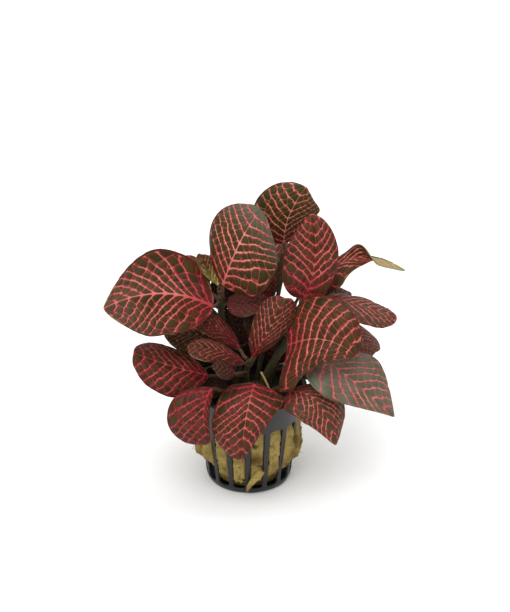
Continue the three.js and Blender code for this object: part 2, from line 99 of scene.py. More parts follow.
# Stems: radius at the foot and at the top, then the path from the foot in the wool to the top.
STEMS = {
    "stem_right": ((2.0, 1.7), [(5, 3, 20), (6, 2, 46), (12, 0, 62), (20, 0, 76), (24, 0, 88), (26, -1, 94)]),
    "stem_top": ((1.3, 1.0), [(3, 9, 20), (4, 10, 46), (9, 13, 72), (15, 14, 95), (16, 15, 113)]),
    "stem_left": ((1.7, 1.5), [(-5, 4, 20), (-6, 4, 46), (-10, 6, 66), (-13, 7, 84), (-13, 2, 97)]),
    "stem_centre": ((1.5, 1.2), [(0, -4, 20), (0, -4, 46), (-1, -5, 56), (0, -5, 66)]),
    "stem_front": ((1.4, 1.2), [(-6, -10, 20), (-6, -11, 46), (-7, -16, 53), (-9, -19, 58)]),
    "stem_front_right": ((1.5, 1.3), [(9, -6, 20), (10, -7, 46), (16, -11, 55), (22, -12, 64)]),
    "stem_back": ((1.5, 1.2), [(-5, 12, 20), (-6, 13, 46), (-9, 18, 62), (-7, 21, 76)]),
    "stem_back_right": ((1.4, 1.2), [(9, 9, 20), (11, 11, 46), (17, 17, 60), (22, 22, 72)]),
    "dry_stalk": ((0.7, 0.5), [(12, -14, 34), (12, -15, 46), (10, -17, 56), (6, -16, 65)]),
}

# Leaves. `at` is the place on the stem where the stalk starts, 0 at the foot and 1 at the top. The midrib
# runs from `base` through `middle` to `tip`; `left` and `right` are the edges where each half is widest.
# Pairs give the left half, then the right half, of a blade that is seen from above with its tip away:
# widest, the place along the midrib; blunt, 0 a pointed and 1 a round outline towards the tip; lobe, how
# far the foot of the half reaches back past the base; belly, the rise of the half in parts of its width;
# twist, the degrees that the half has turned about the midrib at the tip. `flush` is how red the leaf is,
# `green` how green between its veins, `painted_sheen` how much painted silvery sheen it has, which stands
# in for a soft reflection of the lights, and `painted_tip_sheen` the same towards the tip alone;
# `painted_shade` is how much painted shade darkens it, standing in for the shade of the other leaves,
# and `young` how yellow its foot still is.
COMMON = dict(widest=(0.45, 0.45), blunt=(0.6, 0.6), lobe=(2, 2), belly=(0.1, 0.1), twist=(0, 0),
              flush=0.4, green=0.2, painted_sheen=0.0, painted_tip_sheen=0.0, painted_shade=0.0, young=0.0)
LEAVES = [
    # the upper leaves
    dict(name="leaf_left_large", stem="stem_left", at=0.94, base=(-16, -4, 93.3), middle=(-41, -14, 105),
         tip=(-67, -20, 100), left=(-43, -28, 89.5), right=(-43, 4, 120),
         widest=(0.5, 0.45), blunt=(0.5, -0.1), lobe=(3, 3), belly=(-0.1, -0.1)),
    dict(name="leaf_top_left", stem="stem_left", at=1, base=(-12, -6, 105), middle=(-4, -14, 130),
         tip=(6, -9, 145), left=(-16, -3, 137), right=(13, -12, 115.5),
         widest=(0.5, 0.5), blunt=(1, 1), lobe=(-2, 8), belly=(0.12, 0.08)),
    dict(name="leaf_young", stem="stem_left", at=1, base=(-14, 3, 101), middle=(-19, 3, 109),
         tip=(-22, 6, 116), left=(-24, 4, 112), right=(-15, 6, 112), lobe=(0, 0)),
    dict(name="leaf_top", stem="stem_top", at=1, base=(17, 14, 118), middle=(19, 10, 134),
         tip=(27, 14, 147), left=(2.5, 14, 137), right=(33.5, 16, 134),
         widest=(0.5, 0.5), blunt=(1, 0.4), lobe=(3, 3)),
    dict(name="leaf_top_right", stem="stem_right", at=1, base=(26, -6, 98), middle=(31, -8, 121),
         tip=(29, 0, 139), left=(16, -10, 121), right=(41.5, -8, 119),
         widest=(0.5, 0.5), blunt=(0.5, 0.8), lobe=(2, 4)),
    dict(name="leaf_right_curled", stem="stem_right", at=1, base=(33, 6, 100), middle=(52, 8, 113.5),
         tip=(74, 1, 110), left=(48, 15, 113.5), right=(47, -3, 106),
         widest=(0.4, 0.3), blunt=(0.8, -1.3), lobe=(2, 3), twist=(185, 100)),
    dict(name="leaf_right_long", stem="stem_right", at=0.93, base=(37, 4, 95), middle=(54, -2, 93),
         tip=(70, -6, 89), left=(54, 8, 92.5), right=(54, -12, 88), blunt=(0.8, 0.8)),
    dict(name="leaf_right_round", stem="stem_right", at=0.8, base=(43, 6, 82), middle=(54, 2, 74),
         tip=(61, -2, 68.5), left=(59, 12, 72), right=(49, -6, 68), blunt=(0.9, 0.9), lobe=(3, 3)),
    # the front
    dict(name="leaf_front_right", stem="stem_right", at=0.8, base=(19, -14, 78), middle=(35, -26, 87),
         tip=(50, -32, 81), left=(31, -12, 103), right=(21, -30, 62.5),
         widest=(0.45, 0.4), blunt=(1, 0.2), lobe=(-2, 9), belly=(0.12, 0.12)),
    dict(name="leaf_low_right", stem="stem_front_right", at=1, base=(33, -10, 71), middle=(49, -22, 63),
         tip=(69, -26, 46), left=(62, -6, 66), right=(35, -34, 61.5),
         widest=(0.45, 0.4), blunt=(0.2, -0.3), lobe=(0, 2)),
    dict(name="leaf_low_front_right", stem="stem_front_right", at=0.8, base=(18, -22, 57),
         middle=(32, -31, 57), tip=(41, -35, 36), left=(45, -24, 53), right=(24, -36, 50),
         widest=(0.5, 0.45), blunt=(0.3, 0.3), lobe=(0, 6)),
    dict(name="leaf_front", stem="stem_front", at=1, base=(3, -20, 61), middle=(-1, -35, 51),
         tip=(-3, -37, 29), left=(17, -25, 54), right=(-17, -31, 47),
         widest=(0.35, 0.5), blunt=(0.2, 0.9), lobe=(0, 6)),
    dict(name="leaf_low_front_left", stem="stem_front", at=1, base=(-17, -28, 63), middle=(-21, -35, 53),
         tip=(-18, -35, 37), left=(-18, -32, 54), right=(-38, -31, 47),
         widest=(0.5, 0.5), blunt=(0.6, 0.9), lobe=(0, 1)),
    dict(name="leaf_low_left", stem="stem_centre", at=0.7, base=(-19, -14, 62), middle=(-36, -18, 69),
         tip=(-54, -18, 76), left=(-38, -26, 57.5), right=(-39, -6, 73.7),
         widest=(0.5, 0.5), blunt=(1, 1), lobe=(-3, 1)),
    # the middle of the plant
    dict(name="leaf_folded", stem="stem_centre", at=0.9, base=(-2, -12, 68), middle=(-16, -20, 79),
         tip=(-28, -24, 82), left=(-17, -28, 76), right=(-17, -11, 79), blunt=(0.8, 0.8), lobe=(0, 0)),
    dict(name="leaf_centre", stem="stem_centre", at=1, base=(2, -8, 69), middle=(9, -15, 86),
         tip=(17, -11, 101), left=(4.5, -10, 95), right=(20.5, -13, 90),
         widest=(0.6, 0.55), blunt=(1, 1), lobe=(0, 0)),
    dict(name="leaf_left_narrow", stem="stem_centre", at=1, base=(-4, -2, 70), middle=(-16, -5, 84),
         tip=(-28, -8, 88), left=(-19, -8, 80), right=(-17, 2, 88), blunt=(0.7, 0.7), lobe=(0, 0)),
    dict(name="leaf_left_under", stem="stem_left", at=0.6, base=(-16, -2, 77), middle=(-27, -2, 78),
         tip=(-40, -8, 82), left=(-31, -10, 73), right=(-28, 8, 82), lobe=(1, 1)),
    dict(name="leaf_inner_front", stem="stem_left", at=0.85, base=(-10, 6, 92), middle=(-1, 4, 91),
         tip=(9, 2, 95), left=(0, 12, 94), right=(-2, -4, 88), blunt=(0.5, 0.5), lobe=(1, 1)),
    dict(name="leaf_inner_back", stem="stem_top", at=0.6, base=(8, 13, 86), middle=(8, 16, 96),
         tip=(12, 23, 110), left=(1, 17, 97), right=(17, 21, 98), blunt=(0.5, 0.5), lobe=(1, 1)),
    dict(name="leaf_inner_left", stem="stem_back", at=0.9, base=(-2, 13, 65), middle=(-5, 11, 76),
         tip=(-8, 8, 88), left=(-14, 11, 75), right=(2, 14, 80), blunt=(0.5, 0.5), lobe=(1, 1)),
    dict(name="leaf_inner_low", stem="stem_centre", at=0.85, base=(5, 2, 68), middle=(3, 2, 79),
         tip=(1, 4, 89), left=(-2, 0, 81), right=(7, 2, 82), blunt=(0.5, 0.5), lobe=(1, 1)),
    dict(name="leaf_small_front", stem="stem_centre", at=0.8, base=(-6, -24, 68), middle=(-11, -29, 74),
         tip=(-17, -31, 76), left=(-12, -31, 69), right=(-11, -24, 75), blunt=(0.5, 0.5), lobe=(0, 0)),
    dict(name="leaf_inner_right", stem="stem_back_right", at=0.55, base=(15, 10, 57), middle=(14, 9, 66),
         tip=(12, 8, 75), left=(7, 8, 65), right=(21, 10, 66), lobe=(4, 4)),
    dict(name="leaf_inner_left_low", stem="stem_back", at=0.45, base=(-14, 16, 56), middle=(-24, 14, 60),
         tip=(-36, 9, 57), left=(-25, 12, 52), right=(-24, 12, 66), lobe=(1, 1)),
    dict(name="leaf_low_inner_left", stem="stem_front", at=0.5, base=(-10, -9, 53), middle=(-18, -12, 56),
         tip=(-27, -15, 54), left=(-17, -21, 54), right=(-18, -4, 57), lobe=(1, 1)),
    dict(name="leaf_low_inner_front", stem="stem_front_right", at=0.5, base=(9, -12, 52), middle=(3, -13, 55),
         tip=(-4, -12, 54), left=(4, -19, 54), right=(4, -8, 56), lobe=(0, 0)),
    # small leaves that close the gaps between the stems
    dict(name="leaf_foot_left", stem="stem_back", at=0.42, base=(-11, 12, 56), middle=(-8, 11, 61),
         tip=(-5.5, 9, 67), left=(-13, 12, 62), right=(-4, 11, 59), blunt=(0.5, 0.5), lobe=(0, 0)),
    dict(name="leaf_foot_right", stem="stem_back_right", at=0.45, base=(22, 10, 56), middle=(28, 5, 56),
         tip=(36, 1, 53), left=(30, 11, 58), right=(26, -1, 54), blunt=(0.5, 0.5), lobe=(1, 1)),
    dict(name="leaf_inner_upper_left", stem="stem_left", at=0.78, base=(-13, 12, 84), middle=(-14, 11, 89),
         tip=(-15.5, 9.5, 94), left=(-19, 9.5, 90), right=(-9, 13, 89), blunt=(0.5, 0.5), lobe=(0, 0)),
    dict(name="leaf_back_inner_left", stem="stem_back", at=0.97, base=(-12, 23, 81), middle=(-12, 22, 91),
         tip=(-13, 19, 101), left=(-19, 21, 91), right=(-4, 23, 91), lobe=(1, 1)),
    dict(name="leaf_back_inner_low", stem="stem_back", at=0.38, base=(-3, 18, 54), middle=(4, 19, 57.5),
         tip=(14, 20, 57), left=(3, 18, 65), right=(5, 19, 50), lobe=(1, 1)),
    # the back, which the photo hides
    dict(name="leaf_back_left", stem="stem_left", at=0.9, base=(-19, 10, 95), middle=(-29, 22, 98),
         tip=(-41, 36, 95), left=(-28, 12, 94), right=(-27, 32, 104), lobe=(1, 1)),
    dict(name="leaf_right_under", stem="stem_back_right", at=0.9, base=(36, 16, 85), middle=(43, 24, 87),
         tip=(51, 32, 84), left=(41, 30, 88), right=(47, 20, 85), blunt=(0.5, 0.5), lobe=(1, 1)),
    dict(name="leaf_back_right", stem="stem_top", at=0.8, base=(19, 20, 98), middle=(34, 30, 98),
         tip=(47, 42, 94), left=(26, 38, 100), right=(40, 20, 94)),
    dict(name="leaf_back_right_low", stem="stem_back_right", at=1, base=(28, 26, 74), middle=(42, 34, 76),
         tip=(56, 42, 67), left=(36, 47, 76), right=(46, 22, 72)),
    dict(name="leaf_back_right_lowest", stem="stem_back_right", at=0.7, base=(20, 26, 62),
         middle=(30, 42, 64), tip=(38, 56, 53), left=(18, 48, 62), right=(42, 36, 61)),
    dict(name="leaf_back_middle", stem="stem_back", at=1, base=(-4, 26, 78), middle=(0, 42, 82),
         tip=(5, 57, 74), left=(-12, 42, 80), right=(13, 38, 80)),
    dict(name="leaf_back_top", stem="stem_top", at=0.93, base=(13, 18, 108), middle=(7, 32, 114),
         tip=(1, 46, 110), left=(-4, 27, 110), right=(18, 38, 111)),
    dict(name="leaf_back_lowest", stem="stem_back", at=0.5, base=(0, 24, 56), middle=(4, 40, 57),
         tip=(7, 53, 46), left=(-8, 42, 55), right=(16, 38, 54)),
    dict(name="leaf_back_left_low", stem="stem_back", at=0.9, base=(-16, 20, 70), middle=(-32, 28, 72),
         tip=(-47, 36, 65), left=(-36, 16, 67), right=(-27, 40, 71)),
    dict(name="leaf_back_left_lowest", stem="stem_back", at=0.6, base=(-14, 26, 60), middle=(-22, 42, 63),
         tip=(-29, 56, 53), left=(-33, 36, 60), right=(-11, 48, 60)),
    dict(name="leaf_back_upper_left", stem="stem_left", at=0.86, base=(-12, 10, 101), middle=(-12, 24, 107),
         tip=(-15, 38, 108), left=(-20, 22, 104), right=(-3, 25, 105)),
    dict(name="leaf_back_upper_right", stem="stem_right", at=0.85, base=(26, 13, 97), middle=(34, 24, 106),
         tip=(42, 38, 104), left=(27, 31, 107), right=(43, 22, 103)),
    dict(name="leaf_back_crown", stem="stem_back_right", at=1, base=(24, 31, 82), middle=(32, 39, 89),
         tip=(36, 51, 86), left=(22, 41, 87), right=(43, 34, 86)),
    dict(name="leaf_back_left_middle", stem="stem_left", at=0.72, base=(-20, 14, 86),
         middle=(-33, 20, 89), tip=(-47, 28, 83), left=(-36, 10, 85), right=(-29, 31, 87)),
]
# The leaves deep inside the plant, and the small ones that close the gaps between the stems, are darkened
# almost to black by painted shade, standing in for the shade the outer leaves cast.
INNER = dict(flush=0.5, green=0.4, painted_shade=0.94)
# Per leaf tints. The silvery sheen set here is painted and stands in for a soft reflection of the lights; the
# darkening of the leaves inside the plant is painted shade.
TINTS = {
    "leaf_left_large": dict(flush=0.55, painted_tip_sheen=0.15),
    "leaf_top_left": dict(flush=0.25, green=0.45, painted_tip_sheen=0.45),
    "leaf_young": dict(flush=0.2, green=0.3, young=1.0),
    "leaf_top": dict(flush=0.05, green=0.6),
    "leaf_top_right": dict(flush=0.65, green=0.05),
    "leaf_right_curled": dict(flush=0.45, green=0.4),
    "leaf_right_long": dict(flush=0.5, painted_sheen=0.15),
    "leaf_right_round": dict(flush=0.55, painted_sheen=0.2),
    "leaf_front_right": dict(flush=0.5, green=0.25),
    "leaf_low_right": dict(flush=0.3, green=0.5, painted_sheen=0.8),
    "leaf_low_front_right": dict(flush=0.5, green=0.4, painted_sheen=0.1),
    "leaf_front": dict(flush=0.65),
    "leaf_low_front_left": dict(flush=0.8, green=0.0),
    "leaf_low_left": dict(flush=0.8, green=0.0),
    "leaf_folded": dict(flush=0.55, painted_shade=0.3),
    "leaf_centre": dict(flush=0.5, green=0.2, painted_shade=0.15),
    "leaf_left_narrow": dict(flush=0.7, painted_shade=0.3),
    "leaf_left_under": dict(flush=0.2, green=0.9, painted_shade=0.5),
    "leaf_right_under": dict(painted_shade=0.4),
    "leaf_inner_front": dict(flush=0.8, painted_shade=0.45),
    "leaf_inner_back": dict(flush=0.8, painted_shade=0.35),
    "leaf_small_front": dict(painted_shade=0.75),
    **dict.fromkeys(("leaf_inner_left", "leaf_inner_low", "leaf_inner_right", "leaf_inner_left_low",
                     "leaf_low_inner_left", "leaf_low_inner_front", "leaf_back_inner_left",
                     "leaf_back_inner_low", "leaf_foot_left", "leaf_foot_right",
                     "leaf_inner_upper_left"), INNER),
}

# ---------------------------------------------------------------- materials


def srgb(code):
    """A colour as six hex digits, turned to linear red, green, blue and alpha."""
    parts = [int(code[i : i + 2], 16) / 255 for i in (0, 2, 4)]
    return tuple(c / 12.92 if c <= 0.04045 else ((c + 0.055) / 1.055) ** 2.4 for c in parts) + (1.0,)


def add(tree, kind, inputs=None, **settings):
    """Adds a node. Its inputs are given by name or number, each as a value or as the output it links to."""
    made = tree.nodes.new(kind)
    for name, value in settings.items():
        setattr(made, name, value)
    for name, value in (inputs or {}).items():
        if isinstance(value, bpy.types.NodeSocket):
            tree.links.new(value, made.inputs[name])
        else:
            made.inputs[name].default_value = value
    return made


def material(name):
    """A new material, its node tree and its shader."""
    made = bpy.data.materials.new(name)
    made.use_nodes = True
    return made, made.node_tree, made.node_tree.nodes["Principled BSDF"]


def layered(tree, under, *layers):
    """Lays colours over one another. Each layer is where it shows, how much of it at most, and its colour."""
    for place, most, over in layers:
        amount = add(tree, "ShaderNodeMath", {0: place, 1: most}, operation="MULTIPLY").outputs[0]
        under = add(tree, "ShaderNodeMix", {0: amount, 6: under, 7: over}, data_type="RGBA").outputs[2]
    return under


def leaf_blade(name, underside):
    """Living leaf, cuticle up: a satin skin, olive between salmon to crimson veins, redder towards the base.

    The underside is the same leaf seen from below: paler and duller, with the veins faint on greyish green.
    """
    made, tree, shader = material(name)
    level = {n: add(tree, "ShaderNodeAttribute", attribute_name=n).outputs["Fac"]
             for n in ("vein", "flush", "green", "painted_sheen", "cell", "painted_shade", "young")}
    for part, source, low, high in (("on_vein", "vein", -0.09, 0.07), ("near_vein", "vein", -0.9, 0.0),
                                    ("wide_vein", "vein", 0.1, 0.3), ("red", "flush", 0.0, 1.1)):
        level[part] = add(tree, "ShaderNodeMapRange",
                          {"Value": level[source], "From Min": low, "From Max": high},
                          interpolation_type="SMOOTHSTEP").outputs["Result"]
    place = add(tree, "ShaderNodeTexCoord").outputs["Object"]
    blotch, grain = (
        add(tree, "ShaderNodeTexNoise", {"Vector": place, "Scale": 1000 / size,
                                         "Detail": detail}).outputs["Fac"]
        for size, detail in ((LEAF_BLOTCH, 3.0), (LEAF_GRAIN, 2.0)))

    if underside:
        skin = layered(tree, srgb("6F7A48"), (blotch, 1, srgb("8A8C5C")))
        veins = layered(tree, srgb("A8956A"), (level["flush"], 1, srgb("A06A58")))
        smoothest, roughest = 0.58, 0.76
    else:
        wide = layered(tree, srgb("D48A78"), (level["red"], 1, srgb("A6383E")))
        # The silvery layer on the veins here, and the one on the skin below, are painted sheen that stands in
        # for a soft reflection of the lights.
        veins = layered(tree, srgb("984438"),
                        (level["red"], 1, srgb("7E2028")),
                        (level["wide_vein"], 1, wide),
                        (level["painted_sheen"], 0.75, srgb("A85660")),
                        (level["young"], 1, srgb("C8B468")))
        # The silvery layer on the skin is painted sheen.
        skin = layered(tree, srgb("2A1E08"),
                       (level["cell"], 1, srgb("4A3416")),
                       (level["green"], 0.8, srgb("323C14")),
                       (level["near_vein"], level["flush"], srgb("5C1A12")),
                       (level["painted_sheen"], 1, srgb("6E7462")),
                       (level["young"], 0.8, srgb("80783A")),
                       (blotch, 0.3, srgb("161608")))
        smoothest, roughest = 0.38, 0.56
    # The last layer is painted shade: it darkens a leaf inside the plant towards near black.
    colour = layered(tree, skin, (level["on_vein"], 1, veins), (level["painted_shade"], 0.85, srgb("140E08")))
    rough = add(tree, "ShaderNodeMapRange", {"Value": grain, "To Min": smoothest, "To Max": roughest})
    bump = add(tree, "ShaderNodeBump", {"Strength": 0.25, "Distance": 0.0001, "Height": grain})
    tree.links.new(colour, shader.inputs["Base Color"])
    tree.links.new(rough.outputs["Result"], shader.inputs["Roughness"])
    tree.links.new(bump.outputs["Normal"], shader.inputs["Normal"])
    shader.inputs["IOR"].default_value = 1.42
    shader.inputs["Specular IOR Level"].default_value = 0.2
    return made


def plant_stem(name, dark, light, rough):
    """Soft plant stem: a moist skin streaked along its length, dark in the grooves, with a dull shine."""
    made, tree, shader = material(name)
    place = add(tree, "ShaderNodeTexCoord").outputs["Object"]
    along = add(tree, "ShaderNodeMapping", {"Vector": place, "Scale": (1.0, 1.0, 0.18)}).outputs["Vector"]
    streak = add(tree, "ShaderNodeTexNoise", {"Vector": along, "Scale": 1000 / STEM_STREAK,
                                              "Detail": 4.0}).outputs["Fac"]
    bump = add(tree, "ShaderNodeBump", {"Strength": 0.4, "Distance": 0.0002, "Height": streak})
    tree.links.new(layered(tree, srgb(dark), (streak, 1, srgb(light))), shader.inputs["Base Color"])
    tree.links.new(bump.outputs["Normal"], shader.inputs["Normal"])
    shader.inputs["Roughness"].default_value = rough
    shader.inputs["IOR"].default_value = 1.4
    return made


def moulded_polypropylene(name):
    """Black polypropylene, injection moulded: charcoal, satin, faintly grained, with painted shade at the
    foot.
    """
    made, tree, shader = material(name)
    place = add(tree, "ShaderNodeTexCoord").outputs["Object"]
    cloud, grain = (
        add(tree, "ShaderNodeTexNoise", {"Vector": place, "Scale": 1000 / size,
                                         "Detail": detail}).outputs["Fac"]
        for size, detail in ((POT_CLOUD, 3.0), (MOULD_GRAIN, 2.0)))
    height = add(tree, "ShaderNodeSeparateXYZ", {"Vector": place}).outputs["Z"]
    # Painted shade: the plastic darkens towards the foot of the pot, from 12 mm down to 2 mm, standing in for
    # the shade under its rounded heel.
    painted_foot_shade = add(tree, "ShaderNodeMapRange", {"Value": height, "From Min": 0.012, "From Max": 0.002})
    colour = layered(tree, srgb("151416"), (cloud, 1, srgb("201F22")),
                     (painted_foot_shade.outputs["Result"], 1, srgb("08080A")))
    rough = add(tree, "ShaderNodeMapRange", {"Value": cloud, "To Min": 0.34, "To Max": 0.52})
    bump = add(tree, "ShaderNodeBump", {"Strength": 0.15, "Distance": 0.0001, "Height": grain})
    tree.links.new(colour, shader.inputs["Base Color"])
    tree.links.new(rough.outputs["Result"], shader.inputs["Roughness"])
    tree.links.new(bump.outputs["Normal"], shader.inputs["Normal"])
    shader.inputs["IOR"].default_value = 1.49
    return made


def mineral_wool(name):
    """Moist mineral wool, felted: dull straw yellow fibre with brown stains, and painted shade in dark pits
    and over its top.
    """
    made, tree, shader = material(name)
    place = add(tree, "ShaderNodeTexCoord").outputs["Object"]
    fibre, tuft, stain = (
        add(tree, "ShaderNodeTexNoise", {"Vector": place, "Scale": 1000 / size, "Detail": detail,
                                         "Distortion": tangle}).outputs["Fac"]
        for size, detail, tangle in ((WOOL_FIBRE, 5.0, 1.6), (WOOL_PIT, 4.0, 0.0), (WOOL_STAIN, 3.0, 0.0)))
    height = add(tree, "ShaderNodeSeparateXYZ", {"Vector": place}).outputs["Z"]
    # The dark patches are painted shade inside small pits of the felt.
    brown, pit_shade, top = (
        add(tree, "ShaderNodeMapRange", {"Value": value, "From Min": none,
                                         "From Max": full}).outputs["Result"]
        for value, none, full in ((stain, 0.48, 0.7), (tuft, 0.4, 0.28), (height, 0.04, 0.0445)))
    # The top of the wool is darkened almost to black as painted shade under the leaves.
    colour = layered(tree, srgb("6C5A28"), (fibre, 1, srgb("C2AA66")), (brown, 1, srgb("5C4418")),
                     (pit_shade, 1, srgb("201808")), (top, 1, srgb("1A140A")))
    bump = add(tree, "ShaderNodeBump", {"Strength": 0.8, "Distance": 0.0006, "Height": fibre})
    tree.links.new(colour, shader.inputs["Base Color"])
    tree.links.new(bump.outputs["Normal"], shader.inputs["Normal"])
    shader.inputs["Roughness"].default_value = 0.95
    shader.inputs["IOR"].default_value = 1.3
    return made


BLADE = leaf_blade("leaf_upper_skin", False)
BLADE_UNDER = leaf_blade("leaf_lower_skin", True)
STALK = plant_stem("leaf_stalk_skin", "2A1E0E", "5A3C26", 0.55)
STEM = plant_stem("stem_skin", "1C1A08", "403A14", 0.6)
DRY = plant_stem("dry_stalk_straw", "5A4222", "B49A62", 0.85)
PLASTIC = moulded_polypropylene("pot_polypropylene_moulded")
WOOL = mineral_wool("mineral_wool_felted")

# ---------------------------------------------------------------- making shapes


def points(rows):
    """Places given as three numbers each, as vectors."""
    return [Vector(p) for p in rows]


def on_curve(path, t):
    """The place at t, from 0 to 1, on a smooth curve through the points of a path."""
    place = t * (len(path) - 1)
    i = min(int(place), len(path) - 2)
    w = place - i
    a = path[i - 1] if i else 2 * path[0] - path[1]
    b, c = path[i], path[i + 1]
    d = path[i + 2] if i + 2 < len(path) else 2 * path[-1] - path[-2]
    bend, twist = a - 2.5 * b + 2 * c - 0.5 * d, 1.5 * (b - c) + 0.5 * (d - a)
    return b + 0.5 * w * (c - a) + w * w * bend + w**3 * twist


def rod(bm, path, radii, sides):
    """A round rod through the points of a path, with its radius at each, closed at both ends."""
    turn, ahead, ring = Quaternion(), Vector((0, 0, 1)), None
    made = []
    for i, (centre, radius) in enumerate(zip(path, radii)):
        along = (path[min(i + 1, len(path) - 1)] - path[max(i - 1, 0)]).normalized()
        turn, ahead = ahead.rotation_difference(along) @ turn, along
        place = Matrix.Translation(centre) @ turn.to_matrix().to_4x4()
        ends = i in (0, len(path) - 1)
        verts = bmesh.ops.create_circle(bm, cap_ends=ends, segments=sides, radius=radius,
                                        matrix=place)["verts"]
        edges = list({e for v in verts for e in v.link_edges})
        made += verts
        if ring:
            bmesh.ops.bridge_loops(bm, edges=ring + edges)
        ring = edges
    bmesh.ops.recalc_face_normals(bm, faces=list({f for v in made for f in v.link_faces}))


def finish(bm, name, materials, slot, *nodes):
    """Turns a shape in millimetres to a smooth piece in metres, which stands for the nodes."""
    bmesh.ops.scale(bm, verts=bm.verts, vec=(0.001, 0.001, 0.001))
    mesh = bpy.data.meshes.new(name)
    bm.to_mesh(mesh)
    bm.free()
    for each in materials:
        mesh.materials.append(each)
    mesh.shade_smooth()
    piece = bpy.data.objects.new(name, mesh)
    bpy.context.scene.collection.objects.link(piece)
    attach(piece, "root")
    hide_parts(*nodes)
    return piece


def eased(low, high, value):
    """0 below low, 1 above high, and a smooth change between them."""
    t = min(1.0, max(0.0, (value - low) / (high - low)))
    return t * t * (3 - 2 * t)


# ---------------------------------------------------------------- leaves


class Blade:
    """The middle surface of a leaf blade, by u from base to tip and v from the left to the right edge."""

    def __init__(self, leaf):
        self.base, middle, self.tip = points([leaf["base"], leaf["middle"], leaf["tip"]])
        self.pull = 2 * middle - (self.base + self.tip) / 2
        self.leaf = leaf
        self.halves = []
        for edge, widest in zip(points([leaf["left"], leaf["right"]]), leaf["widest"]):
            self.halves.append((edge - self.midrib(widest), self.ahead(widest)))
        self.reach = [reach.length for reach, _ in self.halves]
        stations = [self.midrib(i / 20) for i in range(21)]
        self.length = sum((b - a).length for a, b in zip(stations, stations[1:]))

    def midrib(self, u):
        return (1 - u) ** 2 * self.base + 2 * u * (1 - u) * self.pull + u * u * self.tip

    def ahead(self, u):
        return ((1 - u) * (self.pull - self.base) + u * (self.tip - self.pull)).normalized()

    def side(self, u, k):
        """The way out from the midrib to the edge of half k, as long as the half is wide at its widest."""
        reach, straight = self.halves[k]
        ahead = self.ahead(u)
        turn = math.radians(self.leaf["twist"][k]) * eased(0.35, 0.8, u)
        return Quaternion(ahead, turn) @ (straight.rotation_difference(ahead) @ reach)

    def width(self, u, k):
        """The width of half k in parts of its widest."""
        widest, blunt = self.leaf["widest"][k], self.leaf["blunt"][k]
        if u < widest:
            return math.sqrt(1 - (1 - u / widest) ** 2)
        s = min(1, (u - widest) / (1 - widest))
        return (1 - s ** (1.4 + 0.6 * blunt)) ** (1 - 0.5 * blunt)

    def normal(self, u):
        left, right = (self.side(u, k) / self.reach[k] for k in (0, 1))
        return (right - left).normalized().cross(self.ahead(u)).normalized()

    def point(self, u, v):
        k, out = int(v > 0), abs(v)
        half = self.side(u, k) * self.width(u, k)
        back = min(1, u / LOBE_REACH)
        rise = self.leaf["belly"][k] * half.length * 4 * out * (1 - out)
        lobe = self.leaf["lobe"][k] * 4 * back * (1 - back) * out**1.5
        return self.midrib(u) + half * out + self.normal(u) * rise - self.ahead(u) * lobe

    def flat(self, u, v):
        """The same place on a blade pressed flat, with the base at the origin and the tip along Y."""
        k = int(v > 0)
        return Vector((v * self.reach[k] * self.width(u, k), u * self.length, 0))

    def unpressed(self, place):
        """u and v of a place on the flat blade."""
        u = min(1, max(0, place.y / self.length))
        wide = self.reach[int(place.x > 0)] * self.width(u, int(place.x > 0))
        return u, min(1, max(-1, place.x / wide)) if wide > 1e-6 else 0


